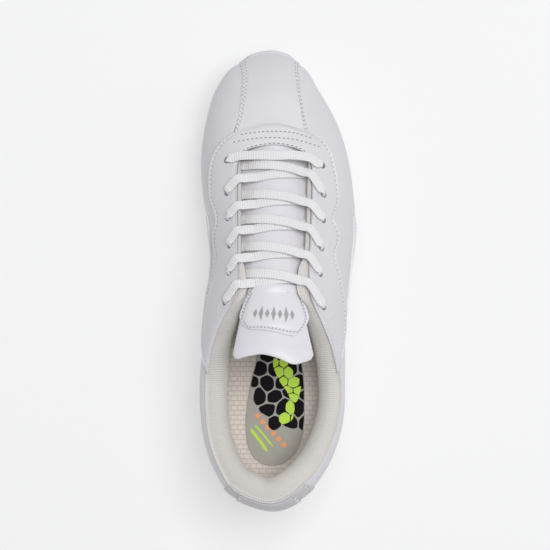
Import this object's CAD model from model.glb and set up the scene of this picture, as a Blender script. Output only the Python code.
# %% [markdown]
# # A right cheer shoe
#
# A low, light trainer in white leather. Two seams run back from the toe tip, an eyestay with six pairs
# of punched holes carries a flat lace over a padded tongue, and a soft knitted collar surrounds the
# opening. Inside lies a loose footbed in checked cloth with a cell print.
#
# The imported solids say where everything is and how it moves. This script dresses them: it repeats the
# shoe's own curves at a much finer step, so that seams, edges, stitches and cloth can be seen.

import functools
import math

import bmesh
import bpy
from mathutils import Matrix, Vector, noise


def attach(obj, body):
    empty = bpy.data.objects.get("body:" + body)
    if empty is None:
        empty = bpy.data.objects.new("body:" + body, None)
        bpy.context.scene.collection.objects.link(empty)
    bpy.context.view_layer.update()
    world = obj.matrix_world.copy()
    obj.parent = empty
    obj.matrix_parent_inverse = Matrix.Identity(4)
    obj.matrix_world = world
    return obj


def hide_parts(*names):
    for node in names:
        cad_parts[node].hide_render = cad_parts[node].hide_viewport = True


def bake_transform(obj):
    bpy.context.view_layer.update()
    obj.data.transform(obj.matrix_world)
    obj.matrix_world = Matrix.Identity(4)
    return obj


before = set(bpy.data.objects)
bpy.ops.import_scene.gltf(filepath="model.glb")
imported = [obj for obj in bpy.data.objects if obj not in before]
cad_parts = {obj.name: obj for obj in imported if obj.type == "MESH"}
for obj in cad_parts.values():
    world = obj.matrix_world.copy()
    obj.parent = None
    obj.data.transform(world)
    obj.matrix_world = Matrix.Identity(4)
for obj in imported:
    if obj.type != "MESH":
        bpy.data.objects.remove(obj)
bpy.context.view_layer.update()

# %% [markdown]
# ## Camera, light and floor
#
# The shoe is seen from straight above with its toe at the top, from far enough away that it hardly
# tapers. A camera with no rotation looks straight down with +Y up, so only its place and its lens
# need numbers. A white room lights the shoe evenly. A large soft lamp high above makes the slopes a
# little darker than the top, and a weak one at the outer side lifts the edges there.

# %% Camera
scene = bpy.context.scene
scene.view_settings.view_transform = "Standard"

camera_data = bpy.data.cameras.new("overhead_camera")
camera_data.sensor_width = 36
camera_data.lens = 138.9
camera_data.clip_end = 50
camera = bpy.data.objects.new("overhead_camera", camera_data)
camera.location = (-0.002, 0.0028, 1.35)
scene.collection.objects.link(camera)
scene.camera = camera
print("camera at", tuple(round(c, 3) for c in camera.location))

# %% Room light and lamps
room = bpy.data.worlds.new("white_room")
room.use_nodes = True
room.node_tree.nodes["Background"].inputs["Color"].default_value = (0.97, 0.985, 1.0, 1)
room.node_tree.nodes["Background"].inputs["Strength"].default_value = 0.39
scene.world = room


def soft_lamp(name, place, aim, size, power):
    """A square lamp at place that faces aim."""
    data = bpy.data.lights.new(name, "AREA")
    data.shape, data.size, data.energy = "SQUARE", size, power
    lamp = bpy.data.objects.new(name, data)
    lamp.location = place
    lamp.rotation_euler = (Vector(aim) - Vector(place)).to_track_quat("-Z", "Y").to_euler()
    scene.collection.objects.link(lamp)
    return lamp


soft_lamp("top_lamp", (0.34, 0.32, 1.95), (0, 0, 0), 1.2, 26.5)
soft_lamp("side_lamp", (1.5, 0.5, 1.0), (0, 0, 0.05), 0.8, 1.6)

# %% [markdown]
# ## The shoe's own curves
#
# The upper is one smooth surface. Thirty-two stations go round the shoe, from the toe tip down the
# outer side to the heel and back along the inner side. Each gives the widest line and the edge of the
# opening; between them the wall is a Bezier curve. Everything on the upper is then named by a station,
# a height on the wall and a depth under the outer face, which is how a shoemaker marks a last.
#
# These are the numbers that the solids were made from. Sizes here are in millimetres, and a mesh
# becomes metres when it is finished.

# %% Stations and heights
MM = 0.001
UP = Vector((0, 0, 1))

LEATHER = 1.2
OVERLAY = 1.1
TEXTILE = 0.8
GAP = 0.3

# y, lateral x, medial x and z of the widest line; y, lateral x, medial x and z of the opening's edge;
# slope at that edge in degrees; tuck of the bottom edge.
STATIONS = [
    (139.6, -4.5, -4.5, 34.0, 81.0, -2.5, -2.5, 60.0, 12, 3.0),
    (132.0, 15.0, -27.5, 33.5, 80.3, 4.8, -9.8, 60.0, 12, 3.0),
    (117.5, 25.0, -38.8, 32.5, 78.8, 11.0, -17.0, 60.3, 14, 3.0),
    (98.0, 36.0, -44.8, 31.5, 75.0, 17.0, -21.8, 61.0, 18, 3.2),
    (77.0, 43.0, -47.8, 31.0, 68.0, 19.7, -24.5, 62.5, 24, 3.5),
    (54.0, 46.6, -46.9, 31.5, 51.0, 19.7, -24.5, 68.0, 30, 4.0),
    (33.0, 47.7, -43.2, 33.0, 31.5, 18.9, -24.3, 75.0, 35, 5.0),
    (12.0, 45.3, -41.0, 37.0, 11.5, 17.8, -24.2, 83.0, 38, 6.0),
    (-9.0, 42.5, -43.0, 44.0, -9.0, 18.2, -25.0, 90.0, 36, 7.5),
    (-25.0, 41.3, -44.4, 51.0, -24.0, 24.6, -32.6, 85.5, 28, 8.5),
    (-41.0, 40.8, -46.0, 55.5, -40.0, 31.5, -39.3, 76.5, 14, 9.0),
    (-60.0, 40.7, -47.8, 58.0, -60.0, 35.8, -42.1, 68.0, 4, 9.0),
    (-80.0, 40.2, -47.5, 58.5, -79.5, 35.4, -42.0, 67.5, 0, 9.0),
    (-98.0, 36.7, -45.2, 59.0, -96.5, 30.5, -39.8, 70.0, 0, 8.5),
    (-115.5, 29.0, -39.0, 60.0, -112.0, 22.5, -34.0, 74.0, 0, 8.0),
    (-130.3, 16.5, -28.0, 61.0, -125.0, 9.5, -24.5, 79.0, 0, 7.0),
    (-138.6, -3.0, -3.0, 62.0, -131.6, -5.0, -5.0, 81.0, 0, 6.5),
]
HEEL = len(STATIONS) - 1
ROUND = 2 * HEEL

FEATHER = [(-142, 31), (-90, 29), (-30, 25.5), (30, 20.5), (70, 18.5), (105, 19.5), (128, 22), (142, 25)]
GROUND = [(-142, 3.5), (-124, 0), (-110, 0), (-60, 0), (30, 0), (66, 0), (90, 0.8), (112, 3.6), (130, 8.2),
          (142, 12)]
OUTSOLE = 4.5

print("stations round the shoe:", ROUND)


# %% Curves
def mix(a, b, t):
    return a + (b - a) * t


def smooth(t):
    """0 to 1 with a soft start and end, held level outside."""
    t = max(0.0, min(1.0, t))
    return t * t * (3 - 2 * t)


def catmull(a, b, c, d, t):
    """The smooth curve through b and c, at t from 0 to 1."""
    straight, bent, twisted = c - a, 2 * a - 5 * b + 4 * c - d, 3 * (b - c) + d - a
    return b + straight * (t / 2) + bent * (t * t / 2) + twisted * (t**3 / 2)


def around(values, s):
    """A closed smooth curve through one value per station, read at station s."""
    i = math.floor(s)
    return catmull(*(values[(i + k) % ROUND] for k in (-1, 0, 1, 2)), s - i)


def along(points, x):
    """A smooth curve through (x, value) points, held level past its ends."""
    if x <= points[0][0]:
        return points[0][1]
    if x >= points[-1][0]:
        return points[-1][1]
    i = next(k for k in range(len(points) - 1) if x <= points[k + 1][0])
    (x0, v0), (x1, v1) = points[i], points[i + 1]
    before, after = points[max(i - 1, 0)], points[min(i + 2, len(points) - 1)]
    slope0 = (v1 - before[1]) / (x1 - before[0])
    slope1 = (after[1] - v0) / (after[0] - x0)
    t, wide = (x - x0) / (x1 - x0), x1 - x0
    return ((1 + 2 * t) * (1 - t) ** 2 * v0 + t * (1 - t) ** 2 * wide * slope0
            + t * t * (3 - 2 * t) * v1 + t * t * (t - 1) * wide * slope1)


def bezier(points, t):
    """A Bezier curve through three or four control points."""
    while len(points) > 1:
        points = [a.lerp(b, t) for a, b in zip(points, points[1:])]
    return points[0]


def both_sides(lateral, medial):
    """One value per station all the way round."""
    return lateral + medial[HEEL - 1:0:-1]


def points_of(x, y, z):
    """A point per station, from those columns of the table."""
    return [Vector((row[x], row[y], row[z])) for row in STATIONS]


WIDEST = both_sides(points_of(1, 0, 3), points_of(2, 0, 3))
EDGE = both_sides(points_of(5, 4, 7), points_of(6, 4, 7))
SLOPE = both_sides([r[8] for r in STATIONS], [r[8] for r in STATIONS])
TUCK = both_sides([r[9] for r in STATIONS], [r[9] for r in STATIONS])
print("opening's edge at the heel:", tuple(EDGE[HEEL]))


# %% The upper's surface
@functools.lru_cache(maxsize=None)
def rib(s):
    """At station s: the widest point, the top edge, the way in and the way the wall arrives there."""
    widest, edge, slope = around(WIDEST, s), around(EDGE, s), math.radians(around(SLOPE, s))
    inward = edge - widest
    inward.z = 0
    reach = inward.length / 2
    inward.normalize()
    return widest, edge, inward, (inward * math.cos(slope) + UP * math.sin(slope)) * reach


def upper_point(s, w):
    """The outer face at station s: w is -1 at the sole, 0 at the widest line and 1 at the edge."""
    widest, edge, inward, arrival = rib(s)
    if w > 0:
        return bezier([widest, widest + UP * 0.6 * (edge.z - widest.z), edge - arrival, edge], w)
    foot = widest + inward * around(TUCK, s)
    foot.z = along(FEATHER, widest.y)
    knee = Vector((widest.x, widest.y, mix(foot.z, widest.z, 0.4)))
    return bezier([foot, knee, widest], w + 1)


def upper_normal(s, w):
    rise = upper_point(s, w + 0.01) - upper_point(s, w - 0.01)
    return rise.cross(upper_point(s + 0.02, w) - upper_point(s - 0.02, w)).normalized()


def on_upper(s, w, depth=0.0):
    """A place depth millimetres under the upper's outer face."""
    return upper_point(s, w) - upper_normal(s, w) * depth


def upper_at(x, y, s, w):
    """The (s, w) of the upper's point at that place seen from above, found from a first guess."""
    for _ in range(20):
        here = upper_point(s, w)
        by_s, by_w = upper_point(s + 0.01, w) - here, upper_point(s, w + 0.01) - here
        off_x, off_y = x - here.x, y - here.y
        turn = by_s.x * by_w.y - by_s.y * by_w.x
        s += 0.01 * max(-20, min(20, (off_x * by_w.y - off_y * by_w.x) / turn))
        w += 0.01 * max(-20, min(20, (by_s.x * off_y - by_s.y * off_x) / turn))
        w = max(0.02, min(1.2, w))
    return s, w


print("top of the heel:", tuple(round(c, 1) for c in upper_point(HEEL, 1)))


# %% The instep, from one throat edge to the other
@functools.lru_cache(maxsize=None)
def arch(k):
    """The four control points over the throat at station k."""
    _, medial, _, from_medial = rib(-k)
    _, lateral, _, from_lateral = rib(k)
    lift_medial, lift_lateral = from_medial * 1.2, from_lateral * 1.2
    lift_medial.y = lift_lateral.y = 0
    return [medial, medial + lift_medial, lateral + lift_lateral, lateral]


def instep_point(k, across):
    """across is -1 at the medial edge of the throat and 1 at the lateral one, and goes on down the upper."""
    if abs(across) > 1:
        return upper_point(k if across > 0 else -k, 1 - (abs(across) - 1) * 0.6)
    return bezier(arch(k), (across + 1) / 2)


def instep_normal(k, across):
    over = instep_point(k, across + 0.02) - instep_point(k, across - 0.02)
    return over.cross(instep_point(k - 0.05, across) - instep_point(k + 0.05, across)).normalized()


def on_instep(k, across, depth=0.0):
    return instep_point(k, across) - instep_normal(k, across) * depth


@functools.lru_cache(maxsize=None)
def station_of(y):
    """The lateral station whose throat edge lies at y."""
    low, high = 3.0, 10.0
    for _ in range(30):
        middle = (low + high) / 2
        low, high = (middle, high) if around(EDGE, middle).y > y else (low, middle)
    return low


# %% The inside of the collar
PAD = [(7, 2.0), (8, 4.2), (9, 8.2), (10, 10.4), (11, 11.4), (14, 12), (16, 14)]
LINING_FOOT = 3.6


@functools.lru_cache(maxsize=None)
def collar_steps(s):
    """The collar's section at station s, as (distance inwards, height) steps from outside to the footbed."""
    widest, edge, _, _ = rib(s)
    pad = along(PAD, min(s % ROUND, ROUND - s % ROUND))
    floor = along(FEATHER, widest.y)
    foot_in = around(TUCK, s) + LINING_FOOT - (edge - widest).to_2d().length
    return [(-0.5 * pad, edge.z - 2), (0, edge.z), (0.55 * pad, edge.z + 0.6), (pad, edge.z - 6.5),
            (mix(pad, foot_in, 0.55), mix(edge.z, floor, 0.5)), (foot_in + 1.0, floor + 12),
            (foot_in, floor + 0.5), (foot_in - 1.0, floor - 10)]


def collar_point(s, v):
    """v runs from 0 at the top edge, over the padding, to 1 at the footbed."""
    _, edge, inward, _ = rib(s)
    steps = collar_steps(s)
    place = v * (len(steps) - 3) + 1
    i = min(int(place), len(steps) - 3)
    place -= i
    out, z = (catmull(*(steps[i + k][axis] for k in (-1, 0, 1, 2)), place) for axis in (0, 1))
    return Vector((edge.x, edge.y, z)) + inward * out


def on_collar(s, v, depth=0.0):
    down = collar_point(s, v + 0.01) - collar_point(s, v - 0.01)
    normal = down.cross(collar_point(s + 0.02, v) - collar_point(s - 0.02, v)).normalized()
    return collar_point(s, v) - normal * depth


# %% The sole seen from above
@functools.lru_cache(maxsize=None)
def rim(s, inset):
    """A point of the sole's outline: inset is how much further in than the upper's bottom edge it lies."""
    widest, _, inward, _ = rib(s)
    return (widest + inward * max(1.0, around(TUCK, s) + inset)).to_2d()


def sole_point(u, v, inset):
    """u runs across from medial to lateral and v from heel to toe."""
    toe_end, heel_end = 1.1, HEEL - 1.1
    toe, heel = rim(mix(-toe_end, toe_end, u), inset), rim(mix(HEEL + 1.1, heel_end, u), inset)
    medial, lateral = rim(-mix(heel_end, toe_end, v), inset), rim(mix(heel_end, toe_end, v), inset)
    heel_side = mix(rim(-heel_end, inset), rim(heel_end, inset), u)
    toe_side = mix(rim(-toe_end, inset), rim(toe_end, inset), u)
    return mix(heel, toe, v) + mix(medial, lateral, u) - mix(heel_side, toe_side, v)


print("sole is", round(sole_point(1, 0.72, -1).x - sole_point(0, 0.72, -1).x, 1), "mm wide at the ball")

# %% [markdown]
# ## Patterns used by more than one finish
#
# A finish has three jobs: its colour, how it scatters light, and the fine relief that a mesh is too
# coarse to carry. What several finishes share is built once as a node group that puts out a mask or a
# height, and each material then places it with its own values. Leather and foam read object
# coordinates, so the grain runs on over a seam. Cloth reads a UV map in millimetres along the piece,
# because threads follow the piece and not the room.


# %% Node helpers
def put(tree, kind, inputs=None, **settings):
    """Adds a node. inputs gives a number, a colour or another node's socket for each named input."""
    made = tree.nodes.new(kind)
    for key, value in settings.items():
        setattr(made, key, value)
    for key, value in (inputs or {}).items():
        if isinstance(value, bpy.types.NodeSocket):
            tree.links.new(value, made.inputs[key])
        else:
            made.inputs[key].default_value = value
    return made


def maths(tree, operation, a, b=0.0, clamp=False):
    return put(tree, "ShaderNodeMath", {0: a, 1: b}, operation=operation, use_clamp=clamp).outputs[0]


def noise_node(tree, place, scale, detail, roughness=0.5):
    """A noise's value at place, from 0 to 1."""
    settings = {"Vector": place, "Scale": scale, "Detail": detail, "Roughness": roughness}
    return put(tree, "ShaderNodeTexNoise", settings).outputs["Fac"]


def pattern(name, inputs, outputs):
    """An empty node group with its sockets. inputs is {name: number or None for a vector}."""
    tree = bpy.data.node_groups.new(name, "ShaderNodeTree")
    for socket, value in inputs.items():
        kind = "NodeSocketVector" if value is None else "NodeSocketFloat"
        made = tree.interface.new_socket(socket, in_out="INPUT", socket_type=kind)
        if value is not None:
            made.default_value = value
    for socket in outputs:
        tree.interface.new_socket(socket, in_out="OUTPUT", socket_type="NodeSocketFloat")
    return tree, tree.nodes.new("NodeGroupInput").outputs, tree.nodes.new("NodeGroupOutput").inputs


def use(tree, group, inputs=None):
    """Places a pattern in a material."""
    made = put(tree, "ShaderNodeGroup", node_tree=group)
    for key, value in (inputs or {}).items():
        if isinstance(value, bpy.types.NodeSocket):
            tree.links.new(value, made.inputs[key])
        else:
            made.inputs[key].default_value = value
    return made.outputs


# %% Leather grain
def leather_grain():
    """Pores about a millimetre apart, finer wrinkles between them, and slow unevenness from the last."""
    tree, given, wanted = pattern("leather grain", {"Pores": 950.0, "Unevenness": 0.5}, ["Height", "Tone"])
    place = tree.nodes.new("ShaderNodeTexCoord").outputs["Object"]
    pores = put(tree, "ShaderNodeTexVoronoi", {"Vector": place, "Scale": given["Pores"]}, feature="F1")
    fine, slow = noise_node(tree, place, 2400.0, 4.0, 0.6), noise_node(tree, place, 38.0, 3.0, 0.5)
    small = maths(tree, "ADD", maths(tree, "MULTIPLY", pores.outputs["Distance"], 0.5),
                  maths(tree, "MULTIPLY", fine, 0.35))
    uneven = maths(tree, "MULTIPLY", slow, given["Unevenness"])
    tree.links.new(maths(tree, "ADD", small, uneven), wanted["Height"])
    tree.links.new(slow, wanted["Tone"])
    return tree


LEATHER_GRAIN = leather_grain()
print("made", LEATHER_GRAIN.name)


# %% Rubbed and dusty places
def handling():
    """Soft cloudy marks where hands and floors have touched the shoe. 0 is clean and 1 is most handled."""
    tree, given, wanted = pattern("handling marks", {"Size": 22.0, "Cover": 0.45}, ["Mask"])
    place = tree.nodes.new("ShaderNodeTexCoord").outputs["Object"]
    clouds = noise_node(tree, place, given["Size"], 6.0, 0.62)
    shifted = maths(tree, "SUBTRACT", clouds, maths(tree, "SUBTRACT", 1.0, given["Cover"]))
    tree.links.new(maths(tree, "MULTIPLY", shifted, 3.0, clamp=True), wanted["Mask"])
    return tree


HANDLING = handling()
print("made", HANDLING.name)


# %% Woven, knitted and checked cloth
def wave(tree, value, pitch):
    """0 to 1 and back once every pitch."""
    turn = maths(tree, "MULTIPLY", maths(tree, "DIVIDE", value, pitch), math.pi)
    return maths(tree, "ABSOLUTE", maths(tree, "SINE", turn))


def woven():
    """Threads that pass over and under each other, from a UV map in millimetres."""
    slots = {"Along": None, "Warp": 0.8, "Weft": 0.8}
    tree, given, wanted = pattern("woven threads", slots, ["Height", "Over"])
    split = put(tree, "ShaderNodeSeparateXYZ", {0: given["Along"]}).outputs
    warp, weft = wave(tree, split["X"], given["Warp"]), wave(tree, split["Y"], given["Weft"])
    steps = [maths(tree, "FLOOR", maths(tree, "DIVIDE", split[axis], given[pitch]))
             for axis, pitch in (("X", "Warp"), ("Y", "Weft"))]
    over = maths(tree, "PINGPONG", maths(tree, "ADD", *steps), 1.0)
    height = put(tree, "ShaderNodeMix", {0: over, 2: warp, 3: weft}, data_type="FLOAT").outputs[0]
    tree.links.new(height, wanted["Height"])
    tree.links.new(over, wanted["Over"])
    return tree


def knitted():
    """Fine ribs with slanted loops on each, from a UV map in millimetres."""
    tree, given, wanted = pattern("ribbed knit", {"Along": None, "Rib": 1.15, "Loop": 0.9}, ["Height"])
    split = put(tree, "ShaderNodeSeparateXYZ", {0: given["Along"]}).outputs
    rib_height = wave(tree, split["X"], given["Rib"])
    slant = maths(tree, "ADD", split["Y"], maths(tree, "MULTIPLY", rib_height, 0.45))
    loops = wave(tree, slant, given["Loop"])
    height = maths(tree, "ADD", maths(tree, "MULTIPLY", rib_height, 0.7), maths(tree, "MULTIPLY", loops, 0.4))
    tree.links.new(height, wanted["Height"])
    return tree


def braided():
    """Herringbone: slanted threads that turn back at the middle of a flat lace."""
    tree, given, wanted = pattern("herringbone braid", {"Along": None, "Thread": 1.0}, ["Height"])
    split = put(tree, "ShaderNodeSeparateXYZ", {0: given["Along"]}).outputs
    columns = maths(tree, "PINGPONG", split["Y"], 1.0)
    slanted = maths(tree, "ADD", split["X"], maths(tree, "MULTIPLY", columns, 0.3))
    threads = wave(tree, slanted, given["Thread"])
    rows = wave(tree, split["Y"], 1.0)
    height = maths(tree, "ADD", maths(tree, "MULTIPLY", threads, 0.75), maths(tree, "MULTIPLY", rows, 0.35))
    tree.links.new(height, wanted["Height"])
    return tree


def checked():
    """Small oblong checks pressed into the lining cloth, from coordinates in millimetres."""
    slots = {"Along": None, "Wide": 3.9, "Tall": 3.0}
    tree, given, wanted = pattern("pressed checks", slots, ["Line", "Height"])
    split = put(tree, "ShaderNodeSeparateXYZ", {0: given["Along"]}).outputs
    row = maths(tree, "DIVIDE", split["Y"], given["Tall"])
    shift = maths(tree, "MULTIPLY", maths(tree, "PINGPONG", maths(tree, "FLOOR", row), 1.0), 0.5)
    column = maths(tree, "ADD", maths(tree, "DIVIDE", split["X"], given["Wide"]), shift)
    lines = []
    for count, half_line in ((row, 0.075), (column, 0.055)):
        from_middle = maths(tree, "ABSOLUTE", maths(tree, "SUBTRACT", maths(tree, "FRACT", count), 0.5))
        lines.append(maths(tree, "GREATER_THAN", from_middle, 0.5 - half_line))
    line = maths(tree, "MAXIMUM", *lines)
    threads = maths(tree, "MULTIPLY", wave(tree, split["X"], 0.55), wave(tree, split["Y"], 0.55))
    tree.links.new(line, wanted["Line"])
    tree.links.new(maths(tree, "SUBTRACT", maths(tree, "MULTIPLY", threads, 0.4), line), wanted["Height"])
    return tree


WOVEN, KNITTED, BRAIDED, CHECKED = woven(), knitted(), braided(), checked()
print("made", [tree.name for tree in (WOVEN, KNITTED, BRAIDED, CHECKED)])

# %% [markdown]
# ## Finishes
#
# Each material is one Principled shader fed by those patterns. Coated white leather has a soft gloss
# with a faintly cool white. Cloths get sheen, which brightens them at grazing angles as loose fibres
# do. The sole is a matt foam with a slightly glossier rubber under it.


# %% Material helper
def finish(name, colour, roughness, **fixed):
    """A material with its Principled shader and its tree. fixed sets the shader's constant sockets."""
    made = bpy.data.materials.new(name)
    made.use_nodes = True
    shader = made.node_tree.nodes["Principled BSDF"]
    shader.inputs["Base Color"].default_value = (*colour, 1)
    shader.inputs["Roughness"].default_value = roughness
    for key, value in fixed.items():
        shader.inputs[key.replace("_", " ")].default_value = value
    return made, made.node_tree, shader


def tint(tree, shader, mask, low, high, socket="Base Color"):
    """Lets a mask carry a socket of the shader from low to high."""
    if socket == "Base Color":
        ends = {0: mask, 6: (*low, 1), 7: (*high, 1)}
        blend = put(tree, "ShaderNodeMix", ends, data_type="RGBA").outputs[2]
    else:
        blend = put(tree, "ShaderNodeMix", {0: mask, 2: low, 3: high}, data_type="FLOAT").outputs[0]
    tree.links.new(blend, shader.inputs[socket])
    return blend


def relief(tree, shader, height, deep, strength=1.0):
    """Sends a height to the shader's normal. deep is the relief's depth in millimetres."""
    bump = put(tree, "ShaderNodeBump", {"Height": height, "Strength": strength, "Distance": deep * MM})
    tree.links.new(bump.outputs["Normal"], shader.inputs["Normal"])


def cloth_map(tree):
    return tree.nodes.new("ShaderNodeTexCoord").outputs["UV"]


def floor_map(tree):
    """Object coordinates in millimetres."""
    place = tree.nodes.new("ShaderNodeTexCoord").outputs["Object"]
    return put(tree, "ShaderNodeMapping", {"Vector": place, "Scale": (1000, 1000, 1000)}).outputs[0]


# %% Leathers
def leather(name, colour, roughness, pores, unevenness, deep):
    made, tree, shader = finish(name, colour, roughness, Specular_IOR_Level=0.42, Coat_Weight=0.12,
                                Coat_Roughness=0.35)
    grain = use(tree, LEATHER_GRAIN, {"Pores": pores, "Unevenness": unevenness})
    marks = use(tree, HANDLING, {"Size": 18.0, "Cover": 0.42})["Mask"]
    shade = tuple(c * f for c, f in zip(colour, (0.955, 0.952, 0.960)))
    tint(tree, shader, grain["Tone"], shade, colour)
    tint(tree, shader, marks, roughness, roughness + 0.10, "Roughness")
    relief(tree, shader, grain["Height"], deep, 0.8)
    return made


WHITE_LEATHER = leather("white_leather", (0.68, 0.668, 0.70), 0.40, 1050.0, 0.9, 0.10)
TRIM_LEATHER = leather("trim_leather", (0.75, 0.737, 0.775), 0.34, 1400.0, 0.5, 0.06)
HEEL_LEATHER = leather("heel_leather", (0.56, 0.538, 0.572), 0.42, 1150.0, 0.8, 0.10)
TONGUE_LEATHER = leather("tongue_leather", (0.74, 0.727, 0.765), 0.38, 1200.0, 0.7, 0.08)
print("made", WHITE_LEATHER.name, TRIM_LEATHER.name)


# %% Cloths and laces
def cloth(name, colour, group, socket, deep, slots=None, sheen=0.35, shade=0.86, place=cloth_map):
    """A cloth whose hollows are a little darker than its threads."""
    made, tree, shader = finish(name, colour, 0.92, Sheen_Weight=sheen, Sheen_Roughness=0.45,
                                Specular_IOR_Level=0.2)
    threads = use(tree, group, {"Along": place(tree), **(slots or {})})
    fuzz = noise_node(tree, tree.nodes.new("ShaderNodeTexCoord").outputs["Object"], 700.0, 3.0)
    thread_part = maths(tree, "MULTIPLY", threads[socket], 0.75)
    fuzz_part = maths(tree, "MULTIPLY", fuzz, 0.3)
    mask = maths(tree, "ADD", thread_part, fuzz_part, clamp=True)
    tint(tree, shader, mask, tuple(c * shade for c in colour), colour)
    relief(tree, shader, threads[socket], deep)
    return made


def checked_cloth(name, colour, line, place):
    made, tree, shader = finish(name, colour, 0.95, Sheen_Weight=0.3, Sheen_Roughness=0.5,
                                Specular_IOR_Level=0.2)
    checks = use(tree, CHECKED, {"Along": place(tree)})
    tint(tree, shader, checks["Line"], colour, line)
    relief(tree, shader, checks["Height"], 0.22)
    return made


CREAM_KNIT = cloth("cream_knit", (0.76, 0.725, 0.69), KNITTED, "Height", 0.30)
CREAM_WEAVE = cloth("cream_weave", (0.78, 0.74, 0.69), WOVEN, "Height", 0.20, {"Warp": 0.7, "Weft": 0.7})
LACE_COTTON = cloth("lace_cotton", (0.84, 0.825, 0.84), BRAIDED, "Height", 0.26, {"Thread": 1.5}, sheen=0.4,
                    shade=0.84)
BEIGE_CLOTH = checked_cloth("beige_checked_cloth", (0.80, 0.73, 0.675), (0.68, 0.605, 0.545), cloth_map)
FOOTBED_CLOTH = checked_cloth("footbed_cloth", (0.80, 0.73, 0.675), (0.68, 0.605, 0.545), floor_map)
print("made", CREAM_KNIT.name, CREAM_WEAVE.name, LACE_COTTON.name, BEIGE_CLOTH.name, FOOTBED_CLOTH.name)


# %% Thread, needle holes, prints, foam, rubber and stiffeners
def grainy(name, colour, roughness, scale, deep, contrast=0.94, marked=0.12, **fixed):
    """A plain moulded or printed finish: fine speckle, slow change of tone and handled places."""
    made, tree, shader = finish(name, colour, roughness, **fixed)
    place = tree.nodes.new("ShaderNodeTexCoord").outputs["Object"]
    speckle = noise_node(tree, place, scale, 5.0, 0.65)
    tint(tree, shader, speckle, tuple(c * contrast for c in colour), colour)
    marks = use(tree, HANDLING, {"Size": 26.0, "Cover": 0.4})["Mask"]
    tint(tree, shader, marks, roughness, min(1.0, roughness + marked), "Roughness")
    relief(tree, shader, speckle, deep)
    return made


THREAD = grainy("polyester_thread", (0.84, 0.83, 0.85), 0.55, 2600.0, 0.05, 0.9, Sheen_Weight=0.3)
NEEDLE_HOLE = grainy("needle_hole", (0.26, 0.255, 0.27), 0.9, 1800.0, 0.05, 0.8)
SHALLOW_HOLE = grainy("shallow_hole", (0.42, 0.41, 0.43), 0.9, 1800.0, 0.05, 0.85)
GREY_MARK = grainy("grey_mark", (0.36, 0.355, 0.375), 0.5, 1500.0, 0.03)
PRINT_FILM = grainy("grey_print_film", (0.40, 0.385, 0.345), 0.62, 1500.0, 0.05, 0.9)
PRINT_BLACK = grainy("black_print", (0.010, 0.008, 0.011), 0.85, 1500.0, 0.05, 0.75, Specular_IOR_Level=0.15)
PRINT_GREEN = grainy("green_print", (0.52, 0.82, 0.02), 0.5, 1500.0, 0.05, 0.85)
PRINT_ORANGE = grainy("orange_print", (0.90, 0.36, 0.13), 0.55, 1500.0, 0.05, 0.85)
MIDSOLE_FOAM = grainy("midsole_foam", (0.80, 0.80, 0.815), 0.62, 900.0, 0.12, 0.95)
SOLE_RUBBER = grainy("sole_rubber", (0.69, 0.68, 0.71), 0.45, 1300.0, 0.08, 0.93, Specular_IOR_Level=0.45)
BOARD = grainy("insole_board", (0.70, 0.66, 0.58), 0.95, 800.0, 0.15, 0.85)
STIFFENER = grainy("stiffener_sheet", (0.80, 0.79, 0.74), 0.6, 1100.0, 0.06, 0.93)
TIP_PLASTIC = grainy("lace_tip_plastic", (0.80, 0.80, 0.79), 0.18, 600.0, 0.02, 0.96, Coat_Weight=0.5)
print("materials:", len(bpy.data.materials))

# %% Floor
def white_floor():
    """A very large pale disc under the shoe. It glows a little, so that it stays an even near-white."""
    bm = bmesh.new()
    bmesh.ops.create_circle(bm, cap_ends=True, segments=96, radius=9.0)
    mesh = bpy.data.meshes.new("studio_floor")
    bm.to_mesh(mesh)
    bm.free()
    made, tree, shader = finish("studio_floor", (0.50, 0.50, 0.50), 0.95, Specular_IOR_Level=0.05,
                                Emission_Color=(1, 1, 1, 1), Emission_Strength=0.42)
    place = tree.nodes.new("ShaderNodeTexCoord").outputs["Object"]
    clouds = noise_node(tree, place, 3.0, 2.0)
    tint(tree, shader, clouds, (0.495, 0.495, 0.495), (0.505, 0.505, 0.505))
    mesh.materials.append(made)
    floor = bpy.data.objects.new("studio_floor", mesh)
    floor.location.z = -0.0004
    scene.collection.objects.link(floor)
    return floor


white_floor()
print("floor ready")

# %% [markdown]
# ## Making a piece
#
# Nearly every piece of a shoe is a thin sheet of something, cut out and bent over the last. So a piece
# starts as a flat slab: a grid, extruded once for its thickness. A small placer function then says
# where each point of the flat slab goes on the shoe, much as a last maker pulls a cut piece into
# place. The slab's own width and height become its UV map in millimetres before it is bent, so
# threads keep their size. A narrow bevel takes the sharpness off every cut edge.


# %% Slabs and placing
def slab(columns, rows, wall=1, cloth=None):
    """x and y run from 0 to 1, z is 0 below and 1 above. cloth is the piece's size in millimetres."""
    bm = bmesh.new()
    bmesh.ops.create_grid(bm, x_segments=columns, y_segments=rows, size=0.5)
    bmesh.ops.translate(bm, vec=(0.5, 0.5, 0), verts=bm.verts)
    raised = bmesh.ops.extrude_face_region(bm, geom=bm.faces[:], use_keep_orig=True)["geom"]
    bmesh.ops.translate(bm, vec=UP, verts=[g for g in raised if isinstance(g, bmesh.types.BMVert)])
    if wall > 1:
        upright = [e for e in bm.edges if abs(e.verts[0].co.z - e.verts[1].co.z) > 0.5]
        bmesh.ops.subdivide_edges(bm, edges=upright, cuts=wall - 1, use_grid_fill=True)
    if cloth:
        lay_cloth(bm, lambda co: (co.x * cloth[0], co.y * cloth[1] + co.z * 2.0))
    return bm


def lay_cloth(bm, where):
    """Writes a UV map in millimetres from each point's place on the flat piece."""
    layer = bm.loops.layers.uv.new("cloth")
    for face in bm.faces:
        for loop in face.loops:
            loop[layer].uv = where(loop.vert.co)


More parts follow.
